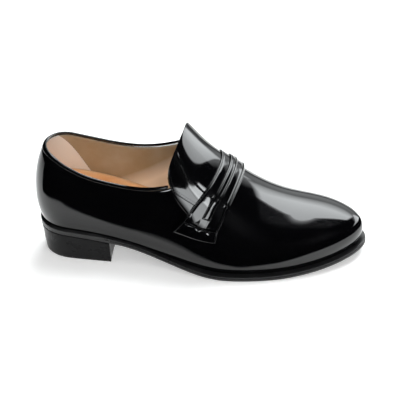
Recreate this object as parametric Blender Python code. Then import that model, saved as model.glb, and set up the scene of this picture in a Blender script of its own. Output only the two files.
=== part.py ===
"""Slip-on dress shoe for the right foot.

Its pieces are the upper, tongue, strap, strap tab, collar binding, insole, outsole and heel.
Every piece comes from one set of last functions, so pieces that lie on each other follow the same curve.
"""
import math

import bmesh
import bpy
import numpy as np

# Sizes are in millimetres: x from the heel back to the toe, -y lateral, +y medial, z up from the floor
MM = 0.001
WELDS_PER_MM = 20000
WALL_POINTS = 20
DOME_POINTS = 72
LATERAL = -1
MEDIAL = 1
SIDES = (LATERAL, MEDIAL)

# The last
HEEL_BACK = 2.5
HEEL_CENTRE = 33.0
HEEL_ROUND = 2.15
BALL = 192.0
TOE_TIP = 281.5
TOE_SWING = 5.0
SWING_FROM = 180.0
TOE_DROP = 7.7
TOE_BLUNT = 2.52
TOE_DRAW = 12
TOE_FULL = {LATERAL: 1.9, MEDIAL: 1.92}
WIDEST = {LATERAL: 172.0, MEDIAL: 190.0}

# Walls and seats
WALL = 2.0
SEAT_GAP = 0.3
THROAT = 157.0
TONGUE_SEAM = 128.0
SEAM_RISE = 1.5
SOLE_THICK = 4.6
SOLE_BEYOND_REAR = 1.9
SOLE_BEYOND_FRONT = 5.0
SOLE_FLARE_FROM = 82.0
SOLE_FLARE_TO = 158.0
SOLE_STEP_FROM = 62.0
SOLE_STEP_TO = 84.0
INSOLE_SHY = 0.4
RIM_THICK = 1.6
BINDING_RISE = 3.2
BINDING_END = 125.0
BINDING_TAIL = 3.0
TONGUE_THICK = 1.8
TONGUE_TUCK = 2.8
TONGUE_MIDDLE = 0.985
STRAP_STEP_FRONT = (0.7, 2.5)
STRAP_STEP_SIDE = (0.53, 0.6)
TAB_SEAT = 3.8
HEEL_BREAST = 67.6
BREAST_HOLLOW = 2.4
BREAST_LEAN = 0.12
HEEL_NARROW = 0.12

# Half width of the feather edge: x, lateral, medial
PLAN = (
    (33.0, 30.5, 30.0),
    (60.0, 31.5, 29.0),
    (90.0, 33.0, 25.4),
    (118.0, 38.0, 28.3),
    (145.0, 45.4, 35.2),
    (172.0, 49.5, 44.0),
    (190.0, 49.5, 46.8),
)
# Centre line profile: x, feather edge height, crest height
PROFILE = (
    (0.0, 33.0, 116.0),
    (30.0, 31.0, 116.0),
    (60.0, 27.0, 118.0),
    (90.0, 20.3, 130.0),
    (112.0, 14.2, 133.0),
    (130.0, 10.2, 121.0),
    (150.0, 6.8, 95.6),
    (172.0, 4.95, 76.8),
    (192.0, 4.7, 61.8),
    (214.0, 4.95, 49.9),
    (245.0, 7.2, 43.9),
    (265.0, 9.7, 39.9),
    (290.0, 13.3, 35.4),
)
# Section shape: x, side bulge, height of the bulge, lateral and medial fullness, shift of the crest
SECTION = (
    (0.0, 3.5, 20.0, 2.1, 2.1, 0.0),
    (33.0, 3.5, 20.0, 2.1, 2.1, 0.0),
    (60.0, 3.0, 18.0, 2.05, 2.05, 0.0),
    (90.0, 2.5, 16.0, 2.05, 2.05, 3.0),
    (118.0, 2.8, 14.5, 2.35, 2.45, 6.8),
    (150.0, 3.3, 13.7, 2.2, 2.3, 9.8),
    (192.0, 4.0, 13.0, 1.86, 1.92, 12.0),
    (240.0, 3.6, 12.2, 2.1, 2.16, 10.8),
    (290.0, 2.5, 10.0, 2.3, 2.36, 5.0),
)
# Topline of the opening, binding included: x, lateral height, medial height
TOPLINE = (
    (4.5, 102.5, 102.5),
    (20.0, 99.5, 100.5),
    (45.0, 88.2, 94.5),
    (70.0, 80.9, 90.0),
    (92.0, 77.8, 88.5),
    (112.0, 79.6, 89.0),
    (128.0, 84.0, 92.0),
)
# Profile of the sole edge from the underside up: set back from the widest line, share of the thickness
SOLE_EDGE = (
    (0.9, 0.0),
    (0.0, 0.16),
    (0.0, 0.58),
    (0.6, 0.63),
    (0.6, 0.71),
    (0.0, 0.76),
    (0.1, 0.92),
    (0.6, 1.0),
)
# Cupped insole: x, height of its rim over the feather edge, thickness of its floor
INSOLE = (
    (0.0, 27.0, 5.0),
    (30.0, 25.6, 5.0),
    (60.0, 24.6, 5.0),
    (95.0, 23.4, 4.6),
    (125.0, 16.0, 4.0),
    (155.0, 8.5, 3.2),
    (190.0, 5.0, 2.6),
    (290.0, 4.4, 2.4),
)
# Profile of the heel block from the floor up: set back from the sole edge, share of the height
HEEL_EDGE = (
    (2.5, 0.0),
    (1.9, 0.03),
    (1.1, 0.4),
    (0.5, 0.75),
    (0.1, 1.0),
)
# Section of the collar binding: beyond the upper's outer face, height over the rim
BINDING = (
    (-0.1, 0.3),
    (0.5, 1.0),
    (0.55, 2.0),
    (0.0, 2.8),
    (-1.0, 3.2),
    (-2.0, 2.8),
    (-2.55, 2.0),
    (-2.5, 1.0),
    (-1.9, 0.3),
)
# Way over the instep: 0 at the lateral feather edge, 1 at the crest, 2 at the medial feather edge
# Strap: way at the heelward edge, way at the toeward edge, x of heelward edge, both tab edges, toeward edge
STRAP = (
    (0.23, 0.28, 128.0, 143.4, 151.8, 165.6),
    (0.28, 0.31, 132.4, 146.3, 153.8, 166.2),
    (0.34, 0.36, 137.4, 149.7, 156.6, 167.3),
    (0.42, 0.43, 143.0, 154.2, 160.7, 170.4),
    (0.50, 0.50, 148.4, 158.3, 164.3, 172.8),
    (0.58, 0.58, 153.4, 162.1, 167.9, 175.2),
    (0.66, 0.66, 157.6, 165.5, 171.1, 177.6),
    (0.76, 0.76, 161.2, 168.5, 174.0, 179.9),
    (0.88, 0.88, 163.6, 170.7, 176.1, 181.7),
    (1.00, 1.00, 163.6, 170.9, 176.4, 182.2),
    (1.14, 1.14, 160.6, 168.5, 174.4, 180.8),
    (1.28, 1.28, 155.8, 164.5, 170.6, 177.8),
    (1.42, 1.42, 149.4, 159.2, 165.6, 173.8),
    (1.54, 1.54, 142.6, 153.7, 160.4, 169.9),
    (1.64, 1.63, 136.0, 148.5, 155.7, 166.4),
    (1.71, 1.69, 130.5, 144.5, 152.2, 164.6),
    (1.75, 1.72, 127.0, 142.1, 150.4, 163.8),
)
# Folds across the strap: edge the fold is set from, millimetres towards the toe, height over the upper
FOLDS = (
    (0, 0.0, 3.1),
    (0, 0.5, 3.9),
    (0, 1.4, 3.95),
    (0, 2.0, 3.3),
    (0, 3.4, 3.5),
    (0.7, 0.0, 3.75),
    (1, 0.0, 3.5),
    (1.5, 0.0, 3.4),
    (2, 0.0, 3.4),
    (2.5, 0.0, 3.6),
    (3, -2.0, 3.2),
    (3, -1.4, 3.85),
    (3, -0.5, 3.8),
    (3, 0.0, 2.9),
)
# Folds across the tab: share of its width, height of its upper face over the upper
TAB_FOLDS = (
    (0.0, 4.6),
    (0.06, 5.0),
    (0.45, 5.5),
    (0.94, 4.9),
    (1.0, 4.5),
)
TAB_ENDS = (0.395, 1.585)
# Rear edge of the tongue: way over the instep, x
TONGUE_REAR = (
    (0.49, 131.5),
    (0.505, 128.2),
    (0.53, 126.0),
    (0.58, 124.9),
    (0.66, 126.8),
    (0.76, 130.4),
    (0.85, 132.7),
    (1.00, 134.0),
    (1.12, 134.0),
    (1.22, 132.6),
    (1.31, 130.0),
    (1.38, 127.6),
    (1.43, 127.0),
    (1.46, 128.6),
    (1.48, 131.5),
)


def spline(xs, ys, end=None):
    """Smooth curve through the points, with a fixed slope at its far end if one is given."""
    xs = np.asarray(xs, float)
    ys = np.asarray(ys, float)
    count = len(xs)
    step = np.diff(xs)
    rise = np.diff(ys) / step
    table = np.eye(count)
    right = np.zeros(count)
    for i in range(1, count - 1):
        table[i, i - 1] = step[i - 1]
        table[i, i] = 2 * (step[i - 1] + step[i])
        table[i, i + 1] = step[i]
        right[i] = 6 * (rise[i] - rise[i - 1])
    if end is not None:
        table[-1, -2] = step[-1]
        table[-1, -1] = 2 * step[-1]
        right[-1] = 6 * (end - rise[-1])
    bend = np.linalg.solve(table, right)

    def curve(x):
        x = float(min(max(x, xs[0]), xs[-1]))
        i = min(max(int(np.searchsorted(xs, x, side="right")) - 1, 0), count - 2)
        a = x - xs[i]
        b = xs[i + 1] - x
        h = step[i]
        cubic = (bend[i] * b ** 3 + bend[i + 1] * a ** 3) / (6 * h)
        return cubic + (ys[i] / h - bend[i] * h / 6) * b + (ys[i + 1] / h - bend[i + 1] * h / 6) * a

    return curve


def ease(value, low, high):
    share = min(max((value - low) / (high - low), 0.0), 1.0)
    return share * share * (3 - 2 * share)


def column(rows, index):
    return spline([row[0] for row in rows], [row[index] for row in rows])


PLAN_HALF = {
    LATERAL: spline([row[0] for row in PLAN[:6]], [row[1] for row in PLAN[:6]], 0.0),
    MEDIAL: spline([row[0] for row in PLAN], [row[2] for row in PLAN], 0.0),
}
FEATHER = column(PROFILE, 1)
CREST = column(PROFILE, 2)
BULGE = column(SECTION, 1)
BULGE_HEIGHT = column(SECTION, 2)
FULLNESS = {LATERAL: column(SECTION, 3), MEDIAL: column(SECTION, 4)}
RIM_RISE = column(INSOLE, 1)
FLOOR_THICK = column(INSOLE, 2)
CREST_SHIFT = column(SECTION, 5)
TOP_HEIGHT = {LATERAL: column(TOPLINE, 1), MEDIAL: column(TOPLINE, 2)}
STRAP_X = [column([(index, *row) for index, row in enumerate(STRAP)], k) for k in range(1, 7)]
TONGUE_X = column(TONGUE_REAR, 1)
STRAP_HEELWARD = column([(row[0], row[2]) for row in STRAP], 1)


def feather_y(x, side, out=0.0):
    """Where the feather edge of the last grown by out crosses station x."""
    half = PLAN_HALF[side]
    if x <= HEEL_CENTRE:
        share = min(max((HEEL_CENTRE - x) / (HEEL_CENTRE - HEEL_BACK + out), 0.0), 1.0)
        return side * (half(HEEL_CENTRE) + out) * (1 - share ** HEEL_ROUND) ** (1 / HEEL_ROUND)
    if x <= WIDEST[side]:
        return side * (half(x) + out)
    full = TOE_FULL[side]
    share = min((x - WIDEST[side]) / (TOE_TIP + out - WIDEST[side]), 1.0)
    swing = TOE_SWING * max(0.0, (x - SWING_FROM) / (TOE_TIP + out - SWING_FROM)) ** 2
    return side * (half(WIDEST[side]) + out) * (1 - share ** full) ** (1 / full) + swing


def edge(station, side, out):
    """Plan point of the feather edge grown by out, at a heel angle, a middle station or a toe angle."""
    kind, value = station
    if kind == "heel":
        long = HEEL_CENTRE - HEEL_BACK + out
        wide = PLAN_HALF[side](HEEL_CENTRE) + out
        back = math.cos(value)
        beside = math.sin(value)
        reach = ((back / long) ** HEEL_ROUND + (beside / wide) ** HEEL_ROUND) ** (-1 / HEEL_ROUND)
        return HEEL_CENTRE - reach * back, side * reach * beside
    x = value
    if kind == "toe":
        x = BALL + (TOE_TIP + out - BALL) * math.sin(value)
    return x, feather_y(x, side, out)


def middle_of(station, x):
    """Plan point on the crest line that the ribs of a station run to."""
    kind, value = station
    if kind == "heel":
        return HEEL_CENTRE, 0.0
    y = CREST_SHIFT(x)
    if kind == "toe":
        y += (TOE_SWING - y) * math.sin(value) ** TOE_DRAW
    return x, y


def rib(station, side, out=0.0):
    """Points of one rib of the last grown by out: up the side wall, then over to the crest."""
    x = edge(station, side, out)[0]
    low = FEATHER(x)
    swell = BULGE(x)
    broad = np.array(edge(station, side, out + swell))
    share = 0.0
    if station[0] == "toe":
        share = math.sin(station[1])
    closing = max(0.0, 1 - share ** TOE_DROP) ** (1 / TOE_BLUNT)
    belly = BULGE_HEIGHT(x)
    high = low + belly + (CREST(x) + out - low - belly) * closing
    centre = np.array(middle_of(station, broad[0]))
    power = 2 / FULLNESS[side](x)
    if station[0] == "heel":
        power = 2 / FULLNESS[LATERAL](x)
    points = []
    for rise in np.linspace(0.0, 1.0, WALL_POINTS, endpoint=False):
        plan = edge(station, side, out + swell * math.sin(rise * math.pi / 2))
        points.append((*plan, low + belly * rise))
    for turn in np.linspace(0.0, math.pi / 2, DOME_POINTS):
        plan = centre + (broad - centre) * max(0.0, math.cos(turn)) ** power
        points.append((*plan, low + belly + (high - low - belly) * math.sin(turn) ** power))
    return np.array(points)


def lengths(points):
    return np.r_[0.0, np.cumsum(np.linalg.norm(np.diff(points, axis=0), axis=1))]


def at_share(points, share):
    """Points at shares of a rib's length."""
    run = lengths(points)
    return np.stack([np.interp(np.asarray(share) * run[-1], run, points[:, k]) for k in range(3)], -1)


def share_at(points, z):
    """Share of a rib's length at which it reaches height z."""
    run = lengths(points)
    return float(np.interp(z, points[:, 2], run)) / run[-1]


def skin(x, way, out):
    """Point over the instep at station x, a way across it and out from the upper's outer face."""
    if way <= 1.0:
        return at_share(rib(("middle", x), LATERAL, out), way)
    return at_share(rib(("middle", x), MEDIAL, out), 2.0 - way)


class Patchwork:
    """Grids and strips of points joined into one closed mesh where their points fall together."""

    def __init__(self):
        self.points = []
        self.faces = []
        self.index = {}

    def add(self, point):
        key = tuple(int(round(value * WELDS_PER_MM)) for value in point)
        if key not in self.index:
            self.index[key] = len(self.points)
            self.points.append(tuple(float(value) * MM for value in point))
        return self.index[key]

    def face(self, *corners):
        ring = []
        for corner in corners:
            number = self.add(corner)
            if number not in ring:
                ring.append(number)
        if len(ring) > 2:
            self.faces.append(ring)

    def strip(self, first, second):
        for a, b, c, d in zip(first[:-1], first[1:], second[1:], second[:-1]):
            self.face(a, b, c, d)

    def grid(self, rows):
        for first, second in zip(rows[:-1], rows[1:]):
            self.strip(first, second)

    def build(self, name, material):
        mesh = bpy.data.meshes.new(name)
        mesh.from_pydata(self.points, [], self.faces)
        work = bmesh.new()
        work.from_mesh(mesh)
        bmesh.ops.recalc_face_normals(work, faces=work.faces)
        work.to_mesh(mesh)
        work.free()
        mesh.materials.append(material)
        piece = bpy.data.objects.new(name, mesh)
        bpy.context.scene.collection.objects.link(piece)
        return piece


def surface(name, colour, roughness):
    material = bpy.data.materials.new(name)
    material.use_nodes = True
    shader = material.node_tree.nodes["Principled BSDF"]
    shader.inputs["Base Color"].default_value = (*colour, 1.0)
    shader.inputs["Roughness"].default_value = roughness
    shader.inputs["Metallic"].default_value = 0.0
    return material


def stations():
    """Heel angles, middle stations and toe angles, from the heel back to the toe tip."""
    heel = [("heel", angle) for angle in np.linspace(0.0, math.pi / 2, 9)[:-1]]
    rear = [("middle", x) for x in np.linspace(HEEL_CENTRE, THROAT, 18)]
    front = [("middle", x) for x in np.linspace(THROAT, BALL, 6)[1:]]
    toe = [("toe", angle) for angle in np.linspace(0.0, math.pi / 2, 15)[1:]]
    return heel + rear + front + toe


def closed_share(station, points, side):
    """Share of a rib that the upper covers."""
    x = points[0, 0]
    if station[0] == "toe" or x >= THROAT:
        return 1.0
    rim = share_at(points, TOP_HEIGHT[side](x) - BINDING_RISE)
    if x <= TONGUE_SEAM:
        return rim
    return rim + (1 - rim) * ((x - TONGUE_SEAM) / (THROAT - TONGUE_SEAM)) ** SEAM_RISE


def upper_side(side, out):
    """Ribs of one side of the upper, each from the feather edge up to the topline or the crest."""
    grid = []
    for station in stations():
        points = rib(station, side, out)
        wall = points[:WALL_POINTS + 1]
        run = lengths(points)
        top = closed_share(station, points, side)
        widest = run[WALL_POINTS] / run[-1]
        rise = at_share(wall, np.linspace(0.0, 1.0, 5)[:-1])
        over = at_share(points, np.linspace(widest, top, 10))
        grid.append(np.concatenate([rise, over]))
    return grid


def build_upper(material):
    work = Patchwork()
    throat = [index for index, station in enumerate(stations()) if station == ("middle", THROAT)][0]
    for side in SIDES:
        outer = upper_side(side, 0.0)
        inner = upper_side(side, -WALL)
        work.grid(outer)
        work.grid(inner)
        work.strip([row[0] for row in outer], [row[0] for row in inner])
        work.strip([row[-1] for row in outer[:throat + 1]], [row[-1] for row in inner[:throat + 1]])
    return work.build("upper", material)


def slab(upper, lower):
    """Closed sheet between two grids of the same size."""
    work = Patchwork()
    work.grid(upper)
    work.grid(lower)
    work.strip(upper[0], lower[0])
    work.strip(upper[-1], lower[-1])
    work.strip([row[0] for row in upper], [row[0] for row in lower])
    work.strip([row[-1] for row in upper], [row[-1] for row in lower])
    return work


def tongue_front(way):
    return STRAP_HEELWARD(way) + TONGUE_TUCK


def build_tongue(material):
    middle = np.linspace(0.58, 1.40, 19)
    ways = np.r_[0.49, 0.497, 0.505, 0.52, 0.54, middle, 1.43, 1.45, 1.465, 1.474, 1.48]
    shares = np.linspace(0.0, 1.0, 8)

    def layer(out):
        rows = []
        for way in ways:
            rear = TONGUE_X(way)
            front = tongue_front(way)
            rows.append([skin(rear + (front - rear) * share, way, out) for share in shares])
        return rows

    return slab(layer(SEAT_GAP + TONGUE_THICK), layer(SEAT_GAP)).build("tongue", material)


def strap_line(row, anchor, shift):
    """Station and way of a fold line on one row of the strap."""
    edges = [STRAP_X[k](row) for k in range(2, 6)]
    x = float(np.interp(anchor, range(4), edges)) + shift
    share = (x - edges[0]) / (edges[3] - edges[0])
    way = STRAP_X[0](row) + (STRAP_X[1](row) - STRAP_X[0](row)) * share
    return x, way


def strap_seat(x, way):
    """Height of the strap's underside: over the tongue it rides on it, elsewhere on the upper."""
    over = SEAT_GAP + TONGUE_THICK + SEAT_GAP
    clear = ease(x - tongue_front(way), *STRAP_STEP_FRONT)
    below = ease(abs(way - TONGUE_MIDDLE), *STRAP_STEP_SIDE)
    return over + (SEAT_GAP - over) * max(clear, below)


def build_strap(material):
    rows = np.linspace(0.0, len(STRAP) - 1, 33)
    upper = []
    lower = []
    for row in rows:
        lines = [strap_line(row, anchor, shift) for anchor, shift, height in FOLDS]
        upper.append([skin(x, way, fold[2]) for (x, way), fold in zip(lines, FOLDS)])
        lower.append([skin(x, way, strap_seat(x, way)) for x, way in lines])
    return slab(upper, lower).build("strap", material)


def build_tab(material):
    reach = [row for row in np.linspace(0.0, len(STRAP) - 1, 400)
             if TAB_ENDS[0] <= strap_line(row, 1.5, 0.0)[1] <= TAB_ENDS[1]]
    rows = np.linspace(reach[0], reach[-1], 29)
    upper = []
    lower = []
    for row in rows:
        lines = [strap_line(row, 1 + share, 0.0) for share, height in TAB_FOLDS]
        upper.append([skin(x, way, height) for (x, way), (share, height) in zip(lines, TAB_FOLDS)])
        lower.append([skin(x, way, TAB_SEAT) for x, way in lines])
    return slab(upper, lower).build("strap_tab", material)


def build_binding(material):
    path = [station for station in stations() if station[0] == "heel"]
    last = BINDING_END - BINDING_TAIL
    path += [station for station in stations() if station[0] == "middle" and station[1] < last]
    path.append(("middle", BINDING_END))
    work = Patchwork()
    for side in SIDES:
        rings = []
        for station in path:
            rim = TOP_HEIGHT[side](edge(station, side, 0.0)[0]) - BINDING_RISE
            ring = []
            for out, rise in BINDING:
                points = rib(station, side, out)
                ring.append(at_share(points, share_at(points, rim + rise)))
            rings.append(ring + ring[:1])
        work.grid(rings)
        work.face(*rings[-1])
    return work.build("collar_binding", material)


def flat_stations(heel_steps, middle, toe_steps=0):
    """Heel angles, given middle stations and toe angles for pieces that lie across the foot."""
    heel = [("heel", angle) for angle in np.linspace(0.0, math.pi / 2, heel_steps + 1)[:-1]]
    toe = [("toe", angle) for angle in np.linspace(0.0, math.pi / 2, toe_steps + 1)[1:]]
    return heel + [("middle", x) for x in middle] + toe


def sole_beyond(x):
    """How far the sole edge stands out: close at heel and waist, a ledge at the forefoot."""
    flare = ease(x, SOLE_FLARE_FROM, SOLE_FLARE_TO)
    return SOLE_BEYOND_REAR + (SOLE_BEYOND_FRONT - SOLE_BEYOND_REAR) * flare


def flat_row(station, shy):
    """Station x and both side points of the sole's outline, set back by shy."""
    kind, value = station
    x = value
    if kind == "heel":
        x = HEEL_CENTRE - (HEEL_CENTRE - HEEL_BACK + sole_beyond(0.0) - shy) * math.cos(value)
    if kind == "toe":
        x = BALL + (TOE_TIP + sole_beyond(TOE_TIP) - shy - BALL) * math.sin(value)
    out = sole_beyond(x) - shy
    return x, feather_y(x, LATERAL, out), feather_y(x, MEDIAL, out)


def sole_over(x):
    return FEATHER(x) - SEAT_GAP


def sole_under(x):
    return max(0.0, sole_over(x) - SOLE_THICK)


def sole_step(station):
    """Share of the edge's steps that shows: none over the heel, where the edge is flush with the block."""
    kind, value = station
    if kind == "middle":
        return ease(value, SOLE_STEP_FROM, SOLE_STEP_TO)
    return 1.0 if kind == "toe" else 0.0


def build_outsole(material):
    path = flat_stations(9, np.linspace(HEEL_CENTRE, BALL, 19), 17)
    rows = {LATERAL: [], MEDIAL: []}
    for shy, share in SOLE_EDGE:
        line = [flat_row(station, shy * sole_step(station)) for station in path]
        heights = [sole_under(x) + (sole_over(x) - sole_under(x)) * share for x, lateral, medial in line]
        rows[LATERAL].append([(x, lateral, z) for (x, lateral, medial), z in zip(line, heights)])
        rows[MEDIAL].append([(x, medial, z) for (x, lateral, medial), z in zip(line, heights)])
    work = Patchwork()
    work.grid(rows[LATERAL])
    work.grid(rows[MEDIAL])
    work.strip(rows[LATERAL][0], rows[MEDIAL][0])
    work.strip(rows[LATERAL][-1], rows[MEDIAL][-1])
    return work.build("outsole", material)


def insole_ring(station, side):
    """One side of the cupped insole: under its floor, up the wall, over the rim and back to the middle."""
    outer = rib(station, side, -WALL - INSOLE_SHY)
    inner = rib(station, side, -WALL - INSOLE_SHY - RIM_THICK)
    x = outer[0, 0]
    under = FEATHER(x)
    floor = under + FLOOR_THICK(x)
    rim = under + RIM_RISE(x)
    wall = at_share(outer, np.linspace(0.0, share_at(outer, rim), 5))
    back = at_share(inner, np.linspace(share_at(inner, rim), share_at(inner, floor), 4))
    middle = middle_of(station, x)
    centre = middle_of(station, back[-1][0])
    base = FEATHER(middle[0])
    return [(*middle, base), *wall, *back, (*centre, base + FLOOR_THICK(middle[0]))]


def build_insole(material):
    path = flat_stations(7, np.linspace(HEEL_CENTRE, BALL, 12), 8)
    work = Patchwork()
    for side in SIDES:
        work.grid([insole_ring(station, side) for station in path])
    return work.build("insole", material)


def build_heel(material):
    columns = np.linspace(0.0, 1.0, 7)
    layers = []
    for shy, share in HEEL_EDGE:
        grid = []
        for station in flat_stations(10, np.linspace(HEEL_CENTRE, HEEL_BREAST, 6)):
            x, lateral, medial = flat_row(station, shy)
            forward = max(0.0, (x - HEEL_CENTRE) / (HEEL_BREAST - HEEL_CENTRE))
            narrow = 1 - HEEL_NARROW * (1 - share) * (1 - x / HEEL_BREAST)
            row = []
            for part in columns:
                hollow = BREAST_HOLLOW * (1 - (2 * part - 1) ** 2) + BREAST_LEAN * shy
                place = x - hollow * forward
                top = sole_over(place) - SOLE_THICK - SEAT_GAP
                row.append((place, (lateral + (medial - lateral) * part) * narrow, share * top))
            grid.append(row)
        layers.append(grid)
    work = Patchwork()
    work.grid(layers[0])
    work.grid(layers[-1])
    work.grid([[row[0] for row in grid] for grid in layers])
    work.grid([[row[-1] for row in grid] for grid in layers])
    work.grid([grid[-1] for grid in layers])
    return work.build("heel", material)


for old in list(bpy.data.objects):
    bpy.data.objects.remove(old, do_unlink=True)

PATENT = surface("patent_leather", (0.004, 0.004, 0.005), 0.08)
TONGUE_PATENT = surface("tongue_patent", (0.004, 0.004, 0.005), 0.08)
STRAP_PATENT = surface("strap_patent", (0.004, 0.004, 0.005), 0.1)
TAB_PATENT = surface("tab_patent", (0.004, 0.004, 0.005), 0.1)
BINDING_PATENT = surface("binding_patent", (0.004, 0.004, 0.005), 0.15)
SOCK = surface("sock_leather", (0.42, 0.2, 0.07), 0.5)
SOLE_RUBBER = surface("sole_rubber", (0.008, 0.008, 0.009), 0.35)
HEEL_RUBBER = surface("heel_rubber", (0.009, 0.009, 0.01), 0.35)

build_upper(PATENT)
build_tongue(TONGUE_PATENT)
build_strap(STRAP_PATENT)
build_tab(TAB_PATENT)
build_binding(BINDING_PATENT)
build_insole(SOCK)
build_outsole(SOLE_RUBBER)
build_heel(HEEL_RUBBER)

corners = [corner for piece in bpy.data.objects for corner in (vertex.co for vertex in piece.data.vertices)]
low = np.min(corners, axis=0)
high = np.max(corners, axis=0)
shift = np.array([-(low[0] + high[0]) / 2, -(low[1] + high[1]) / 2, -low[2]])
for piece in bpy.data.objects:
    for vertex in piece.data.vertices:
        vertex.co = np.array(vertex.co) + shift
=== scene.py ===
"""Black patent slip-on dress shoe, right foot: skins, lining and stitches over its solids, and a studio."""
import math

import bpy
import numpy as np
from mathutils import Matrix, Quaternion, Vector


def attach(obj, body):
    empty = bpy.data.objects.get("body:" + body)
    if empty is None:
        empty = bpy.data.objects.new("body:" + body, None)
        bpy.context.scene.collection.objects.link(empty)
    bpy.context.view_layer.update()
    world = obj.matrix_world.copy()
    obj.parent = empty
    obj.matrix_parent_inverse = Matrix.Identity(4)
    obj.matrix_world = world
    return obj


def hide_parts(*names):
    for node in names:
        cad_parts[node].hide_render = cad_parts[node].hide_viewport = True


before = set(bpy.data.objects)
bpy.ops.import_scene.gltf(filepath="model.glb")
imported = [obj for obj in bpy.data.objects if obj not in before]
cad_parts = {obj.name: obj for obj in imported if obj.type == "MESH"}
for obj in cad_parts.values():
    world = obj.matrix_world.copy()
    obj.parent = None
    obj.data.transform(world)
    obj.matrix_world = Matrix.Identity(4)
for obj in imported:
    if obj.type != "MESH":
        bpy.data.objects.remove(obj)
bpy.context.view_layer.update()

MM = 0.001

# Camera: the view of the shoe's outer side from above, slightly from the toe
AIM = (0.0006, 0.0035, 0.045)
CAMERA_TURN = 11.92
CAMERA_RISE = 31.39
CAMERA_REACH = 1.4654
CAMERA_ROLL = -4.24
IMAGE_WIDTH = 400
FOCAL_PIXELS = 1686
SENSOR = 36.0

# Seam of the heel grip in the lining: x plus this share of z is the same all along it, and half its width
GRIP_SLANT = 0.5
GRIP_SEAM = -75.0 * MM
GRIP_BLUR = 0.2 * MM
# Painted light: low down under the instep the lining turns a near-white cream, where light from above
# falls: x plus this share of z, where that begins and is full
PAINTED_LIGHT_SLANT = -2.0
PAINTED_LIGHT_FROM = (-178.0 * MM, -148.0 * MM)
PAINTED_LIGHT_CREAM = "#FFF4E6"

# Sizes of the patterns in the materials, across and in depth
LACQUER_WAVE = 22.0 * MM
LACQUER_PORE = 1.1 * MM
LACQUER_PORE_DEEP = 0.02 * MM
HAND_MARK = 35.0 * MM
LINING_PORE = 1.0 * MM
LINING_PORE_DEEP = 0.08 * MM
SOLE_GRIT = 0.8 * MM
SOLE_GRIT_HIGH = 0.05 * MM
SOLE_SCUFF = 14.0 * MM
# Sockets of the Mix node for colours: share, first colour, second colour, and the mixed colour
MIX_SHARE = 0
MIX_FIRST = 6
MIX_SECOND = 7
MIXED = 2


def linear(code):
    """Linear colour of an sRGB hex code."""
    shares = [int(code[i:i + 2], 16) / 255 for i in (1, 3, 5)]
    return [s / 12.92 if s <= 0.04045 else ((s + 0.055) / 1.055) ** 2.4 for s in shares] + [1.0]


def place(tree, kind, links=None, **settings):
    """Adds a node, sets its properties and sockets, and links its inputs."""
    made = tree.nodes.new(kind)
    for key, value in settings.items():
        if key in made.bl_rna.properties:
            setattr(made, key, value)
        else:
            made.inputs[key.replace("_", " ")].default_value = value
    for socket, source in (links or {}).items():
        tree.links.new(source, made.inputs[socket])
    return made


def fresh(name):
    """A new material, its tree and its shader."""
    material = bpy.data.materials.new(name)
    material.use_nodes = True
    return material, material.node_tree, material.node_tree.nodes["Principled BSDF"]


def shade(shader, **sockets):
    """Sets uniform values on a shader's sockets."""
    for key, value in sockets.items():
        shader.inputs[key.replace("_", " ")].default_value = value


def patent_leather(name, gloss, wave):
    """Chrome-tanned leather under a poured black lacquer: deep black and mirror-like, with fine pores.

    The lacquer has faint waves, whose depth is in millimetres."""
    material, tree, shader = fresh(name)
    shade(shader, Roughness=0.4, Specular_IOR_Level=0.0, Coat_Weight=1.0, Coat_Roughness=gloss,
          Coat_IOR=1.5)
    where = place(tree, "ShaderNodeTexCoord").outputs["Object"]
    soft = place(tree, "ShaderNodeTexNoise", {"Vector": where}, Scale=1 / LACQUER_WAVE, Detail=1.0)
    pores = place(tree, "ShaderNodeTexNoise", {"Vector": where}, Scale=1 / LACQUER_PORE, Detail=2.0)
    tint = place(tree, "ShaderNodeValToRGB", {"Fac": soft.outputs["Fac"]})
    tint.color_ramp.elements[0].color = linear("#020203")
    tint.color_ramp.elements[1].color = linear("#050506")
    tree.links.new(tint.outputs["Color"], shader.inputs["Base Color"])
    low = place(tree, "ShaderNodeBump", {"Height": soft.outputs["Fac"]}, Strength=1.0, Distance=wave * MM)
    fine = place(tree, "ShaderNodeBump", {"Height": pores.outputs["Fac"], "Normal": low.outputs["Normal"]},
                 Strength=0.25, Distance=LACQUER_PORE_DEEP)
    tree.links.new(fine.outputs["Normal"], shader.inputs["Normal"])
    tree.links.new(low.outputs["Normal"], shader.inputs["Coat Normal"])
    return material


def past_slant(tree, where, share, low, high):
    """How far a spot has come from one slanting line to another: x plus a share of z, from low to high."""
    split = place(tree, "ShaderNodeSeparateXYZ", {"Vector": where})
    lean = place(tree, "ShaderNodeMath", {0: split.outputs["Z"], 2: split.outputs["X"]},
                 operation="MULTIPLY_ADD")
    lean.inputs[1].default_value = share
    come = place(tree, "ShaderNodeMapRange", {"Value": lean.outputs["Value"]}, From_Min=low, From_Max=high)
    return come.outputs["Result"]


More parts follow.
